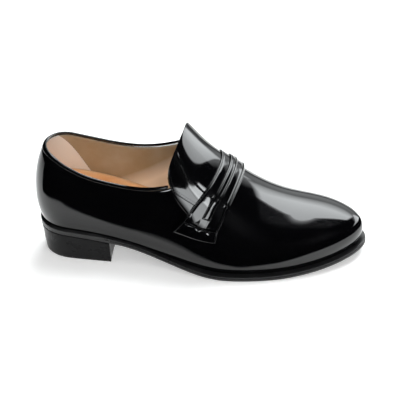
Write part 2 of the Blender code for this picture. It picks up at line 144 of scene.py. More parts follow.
def lining_leather(name, pale, deep, grip=None):
    """Vegetable-tanned lining leather, smooth side out: matt, cream to tan, with pores and hand marks.

    A grip is a greyer, suede-faced piece set in behind a slanting seam at the heel. In front of it the
    lining fades low down to a near-white cream, a painted pool of light from above."""
    material, tree, shader = fresh(name)
    shade(shader, Roughness=0.55, Specular_IOR_Level=0.35)
    where = place(tree, "ShaderNodeTexCoord").outputs["Object"]
    marks = place(tree, "ShaderNodeTexNoise", {"Vector": where},
                  Scale=1 / HAND_MARK, Detail=4.0, Roughness=0.6)
    pores = place(tree, "ShaderNodeTexVoronoi", {"Vector": where}, Scale=1 / LINING_PORE)
    tint = place(tree, "ShaderNodeValToRGB", {"Fac": marks.outputs["Fac"]})
    tint.color_ramp.elements[0].position = 0.3
    tint.color_ramp.elements[0].color = linear(deep)
    tint.color_ramp.elements[1].position = 0.7
    tint.color_ramp.elements[1].color = linear(pale)
    colour = tint.outputs["Color"]
    if grip:
        in_front = past_slant(tree, where, GRIP_SLANT, GRIP_SEAM - GRIP_BLUR, GRIP_SEAM + GRIP_BLUR)
        choice = place(tree, "ShaderNodeMix", {MIX_SHARE: in_front, MIX_SECOND: colour}, data_type="RGBA")
        choice.inputs[MIX_FIRST].default_value = linear(grip)
        # Painted light: low down the lining is mixed towards a near-white cream, where light from above
        # falls
        painted_light = past_slant(tree, where, PAINTED_LIGHT_SLANT, *PAINTED_LIGHT_FROM)
        with_painted_light = place(tree, "ShaderNodeMix", {MIX_SHARE: painted_light, MIX_FIRST: choice.outputs[MIXED]},
                      data_type="RGBA")
        with_painted_light.inputs[MIX_SECOND].default_value = linear(PAINTED_LIGHT_CREAM)
        colour = with_painted_light.outputs[MIXED]
    tree.links.new(colour, shader.inputs["Base Color"])
    grain = place(tree, "ShaderNodeBump", {"Height": pores.outputs["Distance"]},
                  Strength=0.35, Distance=LINING_PORE_DEEP)
    tree.links.new(grain.outputs["Normal"], shader.inputs["Normal"])
    return material


def waxed_rubber(name, roughness, shine=0.5):
    """Moulded sole rubber with a waxed black edge: satin, with fine grit and dull scuffs."""
    material, tree, shader = fresh(name)
    shade(shader, Specular_IOR_Level=shine)
    where = place(tree, "ShaderNodeTexCoord").outputs["Object"]
    grit = place(tree, "ShaderNodeTexNoise", {"Vector": where}, Scale=1 / SOLE_GRIT, Detail=3.0)
    scuff = place(tree, "ShaderNodeTexNoise", {"Vector": where},
                  Scale=1 / SOLE_SCUFF, Detail=5.0, Roughness=0.65)
    dull = place(tree, "ShaderNodeMapRange", {"Value": scuff.outputs["Fac"]},
                 From_Min=0.35, From_Max=0.7, To_Min=roughness - 0.08, To_Max=roughness + 0.12)
    tree.links.new(dull.outputs["Result"], shader.inputs["Roughness"])
    tint = place(tree, "ShaderNodeValToRGB", {"Fac": scuff.outputs["Fac"]})
    tint.color_ramp.elements[0].color = linear("#0C0C0D")
    tint.color_ramp.elements[1].color = linear("#1A1A1B")
    tree.links.new(tint.outputs["Color"], shader.inputs["Base Color"])
    bump = place(tree, "ShaderNodeBump", {"Height": grit.outputs["Fac"]},
                 Strength=0.3, Distance=SOLE_GRIT_HIGH)
    tree.links.new(bump.outputs["Normal"], shader.inputs["Normal"])
    return material


PATENT = patent_leather("poured_patent_leather", gloss=0.06, wave=0.10)
PATENT_STRAP = patent_leather("folded_patent_leather", gloss=0.07, wave=0.12)
PATENT_ROLL = patent_leather("rolled_patent_leather", gloss=0.10, wave=0.05)
LINING = lining_leather("cream_lining_leather", "#A8967F", "#9A8262", grip="#E6DDD6")
SOCK = lining_leather("tan_sock_leather", "#FCDAB0", "#E4AE7A")
SOLE = waxed_rubber("waxed_sole_rubber", roughness=0.34)
HEEL = waxed_rubber("waxed_heel_rubber", roughness=0.30, shine=0.14)
# Waxed black thread looks like the waxed sole edge, and the brown thread like dark lining leather
THREAD = waxed_rubber("waxed_black_thread", roughness=0.45)
GRIP_THREAD = lining_leather("brown_lining_thread", "#6E5238", "#5C432C")

# The last the pieces were drawn over, in millimetres from the heel back, and where that lies in the frame
LAST_AT = (-142.744, 1.300, 0.0)
LATERAL = -1
MEDIAL = 1
WIDEST = {LATERAL: 172.0, MEDIAL: 190.0}
TOE_TIP = 281.5
TOE_FULL = {LATERAL: 1.9, MEDIAL: 1.92}
# Half width of the feather edge: x, lateral, medial
PLAN = (
    (33.0, 30.5, 30.0),
    (60.0, 31.5, 29.0),
    (90.0, 33.0, 25.4),
    (118.0, 38.0, 28.3),
    (145.0, 45.4, 35.2),
    (172.0, 49.5, 44.0),
    (190.0, 49.5, 46.8),
)
# Centre line profile: x, feather edge height, crest height
PROFILE = (
    (0.0, 33.0, 116.0),
    (30.0, 31.0, 116.0),
    (60.0, 27.0, 118.0),
    (90.0, 20.3, 130.0),
    (112.0, 14.2, 133.0),
    (130.0, 10.2, 121.0),
    (150.0, 6.8, 95.6),
    (172.0, 4.95, 76.8),
    (192.0, 4.7, 61.8),
    (214.0, 4.95, 49.9),
    (245.0, 7.2, 43.9),
    (265.0, 9.7, 39.9),
    (290.0, 13.3, 35.4),
)
# Section shape: x, side bulge, height of the bulge, lateral and medial fullness, shift of the crest
SECTION = (
    (0.0, 3.5, 20.0, 2.1, 2.1, 0.0),
    (33.0, 3.5, 20.0, 2.1, 2.1, 0.0),
    (60.0, 3.0, 18.0, 2.05, 2.05, 0.0),
    (90.0, 2.5, 16.0, 2.05, 2.05, 3.0),
    (118.0, 2.8, 14.5, 2.35, 2.45, 6.8),
    (150.0, 3.3, 13.7, 2.2, 2.3, 9.8),
    (192.0, 4.0, 13.0, 1.86, 1.92, 12.0),
    (240.0, 3.6, 12.2, 2.1, 2.16, 10.8),
    (290.0, 2.5, 10.0, 2.3, 2.36, 5.0),
)
# Steps up the side wall and over the dome of a rib
WALL_STEPS = 40
DOME_STEPS = 300
# Way over the instep: 0 at the lateral feather edge, 1 at the crest, 2 at the medial feather edge
# Strap: way at the heelward edge, way at the toeward edge, x of heelward edge, both tab edges, toeward edge
STRAP = (
    (0.23, 0.28, 128.0, 143.4, 151.8, 165.6),
    (0.28, 0.31, 132.4, 146.3, 153.8, 166.2),
    (0.34, 0.36, 137.4, 149.7, 156.6, 167.3),
    (0.42, 0.43, 143.0, 154.2, 160.7, 170.4),
    (0.50, 0.50, 148.4, 158.3, 164.3, 172.8),
    (0.58, 0.58, 153.4, 162.1, 167.9, 175.2),
    (0.66, 0.66, 157.6, 165.5, 171.1, 177.6),
    (0.76, 0.76, 161.2, 168.5, 174.0, 179.9),
    (0.88, 0.88, 163.6, 170.7, 176.1, 181.7),
    (1.00, 1.00, 163.6, 170.9, 176.4, 182.2),
    (1.14, 1.14, 160.6, 168.5, 174.4, 180.8),
    (1.28, 1.28, 155.8, 164.5, 170.6, 177.8),
    (1.42, 1.42, 149.4, 159.2, 165.6, 173.8),
    (1.54, 1.54, 142.6, 153.7, 160.4, 169.9),
    (1.64, 1.63, 136.0, 148.5, 155.7, 166.4),
    (1.71, 1.69, 130.5, 144.5, 152.2, 164.6),
    (1.75, 1.72, 127.0, 142.1, 150.4, 163.8),
)


def spline(rows, index, end=None):
    """Smooth curve through a column of a table, with a fixed slope at its far end if one is given."""
    xs = np.array([row[0] for row in rows])
    ys = np.array([row[index] for row in rows])
    step = np.diff(xs)
    rise = np.diff(ys) / step
    table = np.eye(len(xs))
    right = np.zeros(len(xs))
    for i in range(1, len(xs) - 1):
        table[i, i - 1:i + 2] = step[i - 1], 2 * (step[i - 1] + step[i]), step[i]
        right[i] = 6 * (rise[i] - rise[i - 1])
    if end is not None:
        table[-1, -2:] = step[-1], 2 * step[-1]
        right[-1] = 6 * (end - rise[-1])
    bend = np.linalg.solve(table, right)

    def curve(x):
        x = np.clip(x, xs[0], xs[-1])
        i = np.clip(np.searchsorted(xs, x, side="right") - 1, 0, len(xs) - 2)
        a = x - xs[i]
        b = xs[i + 1] - x
        h = step[i]
        cubic = (bend[i] * b ** 3 + bend[i + 1] * a ** 3) / (6 * h)
        return cubic + (ys[i] / h - bend[i] * h / 6) * b + (ys[i + 1] / h - bend[i + 1] * h / 6) * a

    return curve


def ease(value, low, high):
    """Rises smoothly from 0 at low to 1 at high."""
    share = np.clip((value - low) / (high - low), 0.0, 1.0)
    return share * share * (3 - 2 * share)


# The lateral half is widest at the sixth row of the plan, the medial half at the last
PLAN_HALF = {LATERAL: spline(PLAN[:6], 1, 0.0), MEDIAL: spline(PLAN, 2, 0.0)}
FEATHER = spline(PROFILE, 1)
CREST = spline(PROFILE, 2)
BULGE = spline(SECTION, 1)
BULGE_HEIGHT = spline(SECTION, 2)
FULLNESS = {LATERAL: spline(SECTION, 3), MEDIAL: spline(SECTION, 4)}
CREST_SHIFT = spline(SECTION, 5)
STRAP_AT = [spline([(index, *row) for index, row in enumerate(STRAP)], k) for k in range(1, 7)]
STRAP_HEELWARD = spline([(row[0], row[2]) for row in STRAP], 1)


def feather_y(x, side, out):
    """Where the feather edge of the last grown by out crosses stations x."""
    widest = WIDEST[side]
    full = TOE_FULL[side]
    share = np.clip((x - widest) / (TOE_TIP + out - widest), 0.0, 1.0)
    return side * (PLAN_HALF[side](np.minimum(x, widest)) + out) * (1 - share ** full) ** (1 / full)


def ribs(x, side, out):
    """Sideways places and heights of the ribs of the last grown by out, a row for each station."""
    x = x[:, None]
    out = out[:, None]
    low = FEATHER(x)
    swell = BULGE(x)
    belly = BULGE_HEIGHT(x)
    middle = CREST_SHIFT(x)
    power = 2 / FULLNESS[side](x)
    rise = np.linspace(0.0, 1.0, WALL_STEPS, endpoint=False)
    turn = np.linspace(0.0, math.pi / 2, DOME_STEPS)
    wall = feather_y(x, side, out + swell * np.sin(rise * math.pi / 2))
    dome = middle + (feather_y(x, side, out + swell) - middle) * np.maximum(np.cos(turn), 0.0) ** power
    climb = belly + (CREST(x) + out - low - belly) * np.sin(turn) ** power
    return np.concatenate([wall, dome], 1), low + np.concatenate([belly * rise, climb], 1)


def over(x, way, out):
    """Points at stations x, a way over the instep and out from the upper, in the frame's metres."""
    x, way, out = [np.ravel(value) for value in np.broadcast_arrays(x, way, out)]
    points = np.empty((len(x), 3))
    for side, part in ((LATERAL, way <= 1.0), (MEDIAL, way > 1.0)):
        y, z = ribs(x[part], side, out[part])
        run = np.cumsum(np.hypot(np.diff(y, axis=1), np.diff(z, axis=1)), axis=1)
        run = np.concatenate([np.zeros((len(run), 1)), run], 1)
        goal = np.where(way[part] <= 1.0, way[part], 2.0 - way[part]) * run[:, -1]
        spot = np.clip((run < goal[:, None]).sum(1) - 1, 0, run.shape[1] - 2)
        row = np.arange(len(goal))
        share = (goal - run[row, spot]) / (run[row, spot + 1] - run[row, spot])
        across = y[row, spot] + share * (y[row, spot + 1] - y[row, spot])
        height = z[row, spot] + share * (z[row, spot + 1] - z[row, spot])
        points[part] = np.stack([x[part], across, height], 1)
    return (points + LAST_AT) * MM


# Points nearer than this are one, and how strongly restored quads follow their neighbours
MERGE = 0.001 * MM
FLOW = 1.3
# Axis that the shoe's inner faces look at: its ends along x, its y, its height at x = 0 and its slope
INNER_ENDS = (-0.11, 0.1)
INNER_Y = 0.004
INNER_HIGH = 0.04
INNER_SLOPE = -0.15


def linked(name, points, faces):
    """A piece from points and faces."""
    mesh = bpy.data.meshes.new(name)
    mesh.from_pydata(points, [], faces)
    piece = bpy.data.objects.new(name, mesh)
    bpy.context.scene.collection.objects.link(piece)
    return piece


def alone(piece):
    """Makes a piece the only one selected, and active."""
    bpy.ops.object.select_all(action="DESELECT")
    piece.select_set(True)
    bpy.context.view_layer.objects.active = piece


def smooth(piece, levels):
    """Subdivides a piece for good and shades it smooth."""
    alone(piece)
    rounder = piece.modifiers.new("rounder", "SUBSURF")
    rounder.levels = levels
    rounder.render_levels = levels
    bpy.ops.object.modifier_apply(modifier="rounder")
    bpy.ops.object.shade_smooth()


def cage(node, name):
    """A copy of a solid with its quads restored, ready to be smoothed."""
    piece = bpy.data.objects.new(name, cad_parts[node].data.copy())
    bpy.context.scene.collection.objects.link(piece)
    piece.data.materials.clear()
    alone(piece)
    bpy.ops.object.mode_set(mode="EDIT")
    bpy.ops.mesh.select_all(action="SELECT")
    bpy.ops.mesh.customdata_custom_splitnormals_clear()
    bpy.ops.mesh.remove_doubles(threshold=MERGE)
    bpy.ops.mesh.tris_convert_to_quads(face_threshold=math.pi, shape_threshold=math.pi,
                                       topology_influence=FLOW)
    bpy.ops.object.mode_set(mode="OBJECT")
    return piece


def keep_edges(piece, angle):
    """Holds the edges sharper than an angle while the piece is smoothed."""
    alone(piece)
    bpy.ops.object.mode_set(mode="EDIT")
    bpy.ops.mesh.select_all(action="DESELECT")
    bpy.ops.mesh.select_mode(type="EDGE")
    bpy.ops.mesh.edges_select_sharp(sharpness=math.radians(angle))
    bpy.ops.transform.edge_crease(value=1.0)
    bpy.ops.object.mode_set(mode="OBJECT")


def dress(piece, material, slot, *nodes):
    """Gives a piece its material and its body, and hides the solids that it takes the place of. The slot is
    not used.
    """
    piece.data.materials.append(material)
    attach(piece, "root")
    if nodes:
        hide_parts(*nodes)


def keep_inner_faces(piece):
    """Keeps only the faces that look into the shoe."""
    alone(piece)
    bpy.ops.object.mode_set(mode="EDIT")
    bpy.ops.mesh.select_mode(type="FACE")
    bpy.ops.object.mode_set(mode="OBJECT")
    for face in piece.data.polygons:
        middle = face.center
        along = min(max(middle.x, INNER_ENDS[0]), INNER_ENDS[1])
        axis = Vector((along, INNER_Y, INNER_HIGH + INNER_SLOPE * middle.x))
        face.select = face.normal.dot(middle - axis) >= 0.0
    bpy.ops.object.mode_set(mode="EDIT")
    bpy.ops.mesh.delete(type="FACE")
    bpy.ops.object.mode_set(mode="OBJECT")


def lining_of(node, name, off, thick, levels, trimmed=False):
    """Thin lining over the inner face of a solid, off it by millimetres, short of its edges if trimmed."""
    piece = cage(node, name)
    keep_inner_faces(piece)
    smooth(piece, levels)
    alone(piece)
    bpy.ops.object.mode_set(mode="EDIT")
    bpy.ops.mesh.select_all(action="SELECT")
    bpy.ops.transform.shrink_fatten(value=off * MM)
    bpy.ops.object.mode_set(mode="OBJECT")
    if trimmed:
        bpy.ops.object.mode_set(mode="EDIT")
        bpy.ops.mesh.select_mode(type="VERT")
        bpy.ops.mesh.select_non_manifold(extend=False)
        bpy.ops.mesh.delete(type="VERT")
        bpy.ops.object.mode_set(mode="OBJECT")
    wall = piece.modifiers.new("wall", "SOLIDIFY")
    wall.thickness = thick * MM
    wall.offset = 1.0
    bpy.ops.object.modifier_apply(modifier="wall")
    return piece


def sheet(name, top, bottom):
    """Closed sheet between two grids of points of the same size."""
    number = np.arange(top.shape[0] * top.shape[1]).reshape(top.shape[:2])
    corners = (number[:-1, :-1], number[1:, :-1], number[1:, 1:], number[:-1, 1:])
    face = np.stack(corners, -1).reshape(-1, 4)
    rim = np.r_[number[0, :-1], number[:-1, -1], number[-1, :0:-1], number[:0:-1, 0]]
    following = np.roll(rim, -1)
    side = np.stack([rim, following, following + number.size, rim + number.size], -1)
    points = np.concatenate([top.reshape(-1, 3), bottom.reshape(-1, 3)])
    return closed(name, points, np.concatenate([face, face[:, ::-1] + number.size, side]))


def closed(name, points, faces):
    """A closed piece from points and faces, with its normals turned outwards."""
    piece = linked(name, points.tolist(), faces.tolist())
    alone(piece)
    bpy.ops.object.mode_set(mode="EDIT")
    bpy.ops.mesh.select_all(action="SELECT")
    bpy.ops.mesh.normals_make_consistent(inside=False)
    bpy.ops.object.mode_set(mode="OBJECT")
    return piece


# Strap, in millimetres over the upper: round piping along its long edges
PIPING = 0.6
PIPING_FOOT = 2.7
PIPING_HIGH = 1.05
PIPING_FLANK = 1.2
PIPING_STEPS = np.array((0.0, 0.04, 0.13, 0.25, 0.41, 0.6, 0.79, 0.95, 1.07, 1.16, 1.2, 1.35, 1.5))
# Panel between the pipings, puffed up beside the tab, most near the crosswise seams
PANEL = 3.25
PUFF = 0.12
PUFF_SHAPE = 0.8
END_PUFF = 0.4
END_PUFF_RISE = 2.8
END_PUFF_FADE = (13.0, 27.0)
# Crosswise seam at a distance from each end, with small pleats on the band beyond it
END_SEAM = 11.5
SEAM_DEEP = 0.75
SEAM_WIDE = 0.55
END_FLAT = 3.5
END_ROUND = 0.9
PLEATS = 3
PLEAT_HIGH = 0.9
# Underside: on the upper, and higher where the tongue's edge is tucked under it
SEAT = 0.3
TONGUE_OVER = 2.4
TONGUE_TUCK = 2.8
TONGUE_EDGE = (0.7, 2.5)
TONGUE_MIDDLE = 0.985
TONGUE_REACH = (0.53, 0.6)
# Tab along the middle of the strap, from one way over the instep to another, with a bead along both edges
TAB_ENDS = (0.425, 1.555)
TAB_EDGE = 0.5
TAB_FLANK = 0.8
TAB_STEPS = np.array((0.0, 0.03, 0.1, 0.21, 0.35, 0.5, 0.65, 0.79, 0.9, 0.97, 1.0, 1.3))
TAB_SEAT = 3.8
TAB_FOOT = 4.0
TAB_HIGH = 1.05
TAB_PANEL = 4.6
# Rows of the strap's table, and how finely the strap and the tab are drawn along and across
STRAP_ENDS = (0, len(STRAP) - 1)
STRAP_ROWS = 129
FINE_REACH = 3
FINE_ROWS = 61
STRIP_LINES = 13
SEARCH_ROWS = 801
TAB_ROWS = 181
TAB_LINES = 9
SMOOTH_UNDER = math.radians(60)


def way_between(x, heelward, toeward, way_heelward, way_toeward):
    """Way over the instep at stations between the strap's long edges."""
    return way_heelward + (way_toeward - way_heelward) * (x - heelward) / (toeward - heelward)


def run_from_ends(line):
    """Distance of each point of a line from its nearer end, in millimetres, as a column."""
    run = np.r_[0.0, np.cumsum(np.linalg.norm(np.diff(line, axis=0), axis=1))] / MM
    return np.minimum(run, run[-1] - run)[:, None]


def lifted(name, x, way, height, seat):
    """Closed sheet over the instep from its underside to its height, smooth but for its sharp edges."""
    grid = (*x.shape, 3)
    piece = sheet(name, over(x, way, height).reshape(grid), over(x, way, seat).reshape(grid))
    bpy.ops.object.shade_smooth_by_angle(angle=SMOOTH_UNDER)
    return piece


def strap_plan(rows):
    """Stations and ways of the strap's lines on rows of its table.

    With them come their distances from its ends and its long edges, and how far each lies from a piping
    to the tab."""
    columns = [at(rows)[:, None] for at in STRAP_AT]
    way_heelward, way_toeward, heelward, tab_rear, tab_front, toeward = columns
    inset = PIPING_STEPS[-1]
    strip = np.linspace(0.0, 1.0, STRIP_LINES)
    rear = heelward + inset + (tab_rear - heelward - inset) * strip[1:]
    middle = tab_rear + (tab_front - tab_rear) * strip[2:-2:2]
    front = tab_front + (toeward - inset - tab_front) * strip[:-1]
    pipings = (heelward + PIPING_STEPS, toeward - PIPING_STEPS[::-1])
    x = np.concatenate([pipings[0], rear, middle, front, pipings[1]], 1)
    way = way_between(x, heelward, toeward, way_heelward, way_toeward)
    from_end = run_from_ends(over((heelward + toeward) / 2, (way_heelward + way_toeward) / 2, PANEL))
    from_edge = np.minimum(x - heelward, toeward - x)
    beside = np.where(x < tab_rear, (x - heelward - inset) / (tab_rear - heelward - inset),
                      (toeward - inset - x) / (toeward - inset - tab_front))
    return x, way, from_end, from_edge, np.clip(beside, 0.0, 1.0)


def strap_sheet(name):
    """Padded strap: round piping along its long edges, puffs beside the tab, a pleated band at each end."""
    last = STRAP_ENDS[1]
    rows = np.unique(np.r_[np.linspace(0, last, STRAP_ROWS), np.linspace(0, FINE_REACH, FINE_ROWS),
                           np.linspace(last - FINE_REACH, last, FINE_ROWS)])
    x, way, from_end, from_edge, beside = strap_plan(rows)
    round_over = np.sqrt(np.maximum(0.0, 1 - ((from_edge - PIPING) / PIPING) ** 2))
    inside = ease(from_edge, 2 * PIPING, 2 * PIPING + PIPING_FLANK)
    near_seam = ease(from_end, END_SEAM, END_SEAM + END_PUFF_RISE) * (1 - ease(from_end, *END_PUFF_FADE))
    puffed = PUFF + END_PUFF * near_seam
    seam = SEAM_DEEP * np.exp(-((from_end - END_SEAM) / SEAM_WIDE) ** 2)
    pillow = np.sin(math.pi * beside) ** PUFF_SHAPE * puffed * (from_end > END_SEAM)
    across = (x - x[:, :1]) / (x[:, -1:] - x[:, :1])
    band = np.clip((from_end - END_FLAT) / (END_SEAM - END_FLAT), 0.0, 1.0)
    pillow = pillow + PLEAT_HIGH * np.sin(math.pi * PLEATS * across) ** 2 * np.sin(math.pi * band)
    height = PIPING_FOOT + PIPING_HIGH * round_over + inside * (PANEL - PIPING_FOOT + pillow - seam)
    height = height - (1 - ease(from_end, 0.0, END_ROUND)) * (height - PIPING_FOOT)
    past_tongue = ease(x - STRAP_HEELWARD(way) - TONGUE_TUCK, *TONGUE_EDGE)
    beside_tongue = ease(abs(way - TONGUE_MIDDLE), *TONGUE_REACH)
    seat = TONGUE_OVER + (SEAT - TONGUE_OVER) * np.maximum(past_tongue, beside_tongue)
    return lifted(name, x, way, height, seat)


def tab_sheet(name):
    """Folded tab along the middle of the strap, with a round bead along both long edges."""
    fine = np.linspace(*STRAP_ENDS, SEARCH_ROWS)
    ways = (STRAP_AT[0](fine) + STRAP_AT[1](fine)) / 2
    rows = np.linspace(*np.interp(TAB_ENDS, ways, fine), TAB_ROWS)
    columns = [at(rows)[:, None] for at in STRAP_AT]
    way_heelward, way_toeward, heelward, tab_rear, tab_front, toeward = columns
    inset = TAB_STEPS[-1]
    middle = tab_rear + inset + (tab_front - tab_rear - 2 * inset) * np.linspace(0.0, 1.0, TAB_LINES)[1:-1]
    x = np.concatenate([tab_rear + TAB_STEPS, middle, tab_front - TAB_STEPS[::-1]], 1)
    way = way_between(x, heelward, toeward, way_heelward, way_toeward)
    from_end = run_from_ends(over((tab_rear + tab_front) / 2, (way_heelward + way_toeward) / 2, TAB_PANEL))
    from_edge = np.minimum(x - tab_rear, tab_front - x)
    bead = np.sqrt(np.maximum(0.0, 1 - ((from_edge - TAB_EDGE) / TAB_EDGE) ** 2))
    inside = ease(from_edge, 2 * TAB_EDGE, 2 * TAB_EDGE + TAB_FLANK)
    height = TAB_FOOT + TAB_HIGH * bead + inside * (TAB_PANEL - TAB_FOOT)
    height = height - (1 - ease(from_end, 0.0, END_ROUND)) * (height - TAB_FOOT)
    return lifted(name, x, way, height, TAB_SEAT)


# Seams: stitch size as length, width and height, and spacing, in millimetres
STITCH = (1.5, 0.42, 0.36)
STITCH_PITCH = 2.0
STITCH_SIDES = 8
STITCH_RINGS = 5
# Step ahead that gives a stitch its direction, how far out a look at a piece starts, rise of the thread
STEP_AHEAD = 0.3
LOOK_FROM = 12.0
THREAD_RISE = 0.1
# Double seam along the tongue's lower edge: station and way of the outer and the inner row
TONGUE_SEAMS = (
    ((126.2, 0.580), (127.3, 0.537), (129.2, 0.514), (132.0, 0.503), (140.0, 0.500), (148.0, 0.500)),
    ((127.9, 0.585), (129.0, 0.548), (130.9, 0.527), (133.6, 0.517), (140.0, 0.514), (149.0, 0.514)),
)
BOTH_SIDES = 1.97
TONGUE_SPOTS = 60
STRAP_SPOTS = 400
# Heights between which the grip's seam shows, in the frame's metres
GRIP_HEIGHTS = (0.098, 0.058)
GRIP_SPOTS = 30


def seam_row(points, outward, pitch):
    """Places, directions and outward normals of stitches spaced along a line of points."""
    run = np.r_[0.0, np.cumsum(np.linalg.norm(np.diff(points, axis=0), axis=1))]
    spots = np.linspace(0.0, run[-1], max(2, int(run[-1] / (pitch * MM))))
    spots = (spots[1:] + spots[:-1]) / 2

    def along(values, shift):
        return np.stack([np.interp(spots + shift, run, column) for column in values.T], 1)

    place_at = along(points, 0.0)
    ahead = along(points, STEP_AHEAD * MM) - place_at
    normal = along(outward, 0.0)
    ahead /= np.linalg.norm(ahead, axis=1)[:, None]
    normal -= ahead * (normal * ahead).sum(1)[:, None]
    normal /= np.linalg.norm(normal, axis=1)[:, None]
    return place_at, ahead, normal


def row_over(x, way, out, pitch):
    """A seam row along a line over the instep."""
    points = over(x, way, out)
    return seam_row(points, over(x, way, out + 1.0) - points, pitch)


def row_on(piece, x, way, pitch):
    """A seam row on a piece that lies over the instep, found by looking straight in at it."""
    outside = over(x, way, LOOK_FROM)
    found = []
    for start, inward in zip(outside, over(x, way, 0.0) - outside):
        hit, spot, normal, _ = piece.ray_cast(Vector(start), Vector(inward).normalized())
        if hit:
            found.append((*spot, *normal))
    found = np.array(found)
    return seam_row(found[:, :3], found[:, 3:], pitch)


def stitches(name, rows, size):
    """Copies of one stitch along seam rows, joined into one piece: a 1 mm ball stretched to a size."""
    bpy.ops.object.select_all(action="DESELECT")
    bpy.ops.mesh.primitive_uv_sphere_add(segments=STITCH_SIDES, ring_count=STITCH_RINGS, radius=0.5 * MM)
    bpy.ops.transform.resize(value=size)
    bpy.ops.object.transform_apply(location=True, rotation=True, scale=True)
    model = bpy.context.object
    shape = np.array([vertex.co for vertex in model.data.vertices])
    polygons = [np.array(face.vertices) for face in model.data.polygons]
    bpy.data.objects.remove(model, do_unlink=True)
    points = []
    faces = []
    for place_at, ahead, normal in rows:
        beside = np.cross(normal, ahead)
        for spot, along, across, up in zip(place_at, ahead, beside, normal):
            faces += [(face + len(points) * len(shape)).tolist() for face in polygons]
            points.append(spot + shape @ np.array([along, across, up]))
    piece = linked(name, np.concatenate(points).tolist(), faces)
    alone(piece)
    bpy.ops.object.shade_smooth()
    return piece


# Upper and tongue, each with its lining
upper = cage("upper", "upper_skin")
smooth(upper, levels=2)
dress(upper, PATENT, "patent_leather", "upper")

lining = lining_of("upper", "upper_lining", off=0.1, thick=0.2, levels=1)
dress(lining, LINING, "sock_leather")

tongue = cage("tongue", "tongue_skin")
smooth(tongue, levels=3)
dress(tongue, PATENT, "tongue_patent", "tongue")

tongue_back = lining_of("tongue", "tongue_lining", off=0.05, thick=0.12, levels=2, trimmed=True)
dress(tongue_back, LINING, "sock_leather")

# Strap, its tab and the collar's roll
strap = strap_sheet("strap_skin")
dress(strap, PATENT_STRAP, "strap_patent", "strap")

tab = tab_sheet("tab_skin")
dress(tab, PATENT_STRAP, "tab_patent", "strap_tab")

roll = cage("collar_binding", "collar_roll")
smooth(roll, levels=2)
dress(roll, PATENT_ROLL, "binding_patent", "collar_binding")

# Insole, sole and heel, whose edges sharper than this many degrees stay sharp
EDGE_ANGLE = 20
sock = cage("insole", "sock_skin")
keep_edges(sock, EDGE_ANGLE)
smooth(sock, levels=2)
dress(sock, SOCK, "sock_leather", "insole")

sole = cage("outsole", "sole_skin")
keep_edges(sole, EDGE_ANGLE)
smooth(sole, levels=2)
dress(sole, SOLE, "sole_rubber", "outsole")

heel = cage("heel", "heel_skin")
keep_edges(heel, EDGE_ANGLE)
smooth(heel, levels=2)
dress(heel, HEEL, "heel_rubber", "heel")


def tongue_rows():
    """Double seam along the tongue's lower edge, on both sides of the shoe."""
    rows = []
    for line in TONGUE_SEAMS:
        steps = np.linspace(0, len(line) - 1, TONGUE_SPOTS)
        table = [(index, *spot) for index, spot in enumerate(line)]
        x = spline(table, 1)(steps)
        way = spline(table, 2)(steps)
        rows.append(row_on(tongue, x, way, STITCH_PITCH))
        rows.append(row_on(tongue, x, BOTH_SIDES - way, STITCH_PITCH))
    return rows


def strap_rows():
    """Rows in the grooves beside both pipings and across both ends."""
    x, way, from_end, *_ = strap_plan(np.linspace(*STRAP_ENDS, STRAP_SPOTS))
    groove = len(PIPING_STEPS) - 2
    edges = (groove, -1 - groove)
    lines = [row_over(x[:, k], way[:, k], PIPING_FOOT + THREAD_RISE, STITCH_PITCH) for k in edges]
    middle = STRAP_SPOTS // 2
    across = slice(groove + 1, -1 - groove)
    for half in (slice(0, middle), slice(middle, STRAP_SPOTS)):
        row = half.start + int(np.argmin(abs(from_end[half, 0] - END_SEAM)))
        seam_high = PANEL - SEAM_DEEP + THREAD_RISE
        lines.append(row_over(x[row, across], way[row, across], seam_high, STITCH_PITCH))
    return lines


def grip_rows():
    """Seams of the heel grip, found on the lining by looking sideways from the middle of the shoe."""
    rows = []
    for side in (LATERAL, MEDIAL):
        points = []
        outward = []
        for z in np.linspace(*GRIP_HEIGHTS, GRIP_SPOTS):
            found, spot, normal, _ = lining.ray_cast((GRIP_SEAM - GRIP_SLANT * z, 0.0, z), (0.0, side, 0.0))
            if found:
                points.append(spot)
                outward.append(normal)
        rows.append(seam_row(np.array(points), np.array(outward), STITCH_PITCH))
    return rows


tongue_thread = stitches("tongue_stitches", tongue_rows(), STITCH)
dress(tongue_thread, THREAD, "tongue_patent")

strap_thread = stitches("strap_stitches", strap_rows(), STITCH)
dress(strap_thread, THREAD, "strap_patent")

grip_thread = stitches("grip_stitches", grip_rows(), STITCH)
dress(grip_thread, GRIP_THREAD, "sock_leather")

# Studio: a floor of matt white paper, bright by itself as under a wide lamp
FLOOR_REACH = 6.0
FLOOR_SIDES = 96
bpy.ops.object.select_all(action="DESELECT")
bpy.ops.mesh.primitive_circle_add(vertices=FLOOR_SIDES, radius=FLOOR_REACH, fill_type="NGON")
floor = bpy.context.object
floor.name = "studio_floor"
floor_paper, _, floor_shader = fresh("matt_white_paper")
shade(floor_shader, Base_Color=linear("#F2F2F1"), Roughness=0.8, Specular_IOR_Level=0.1,
      Emission_Color=linear("#FFFFFF"), Emission_Strength=0.36)
floor.data.materials.append(floor_paper)

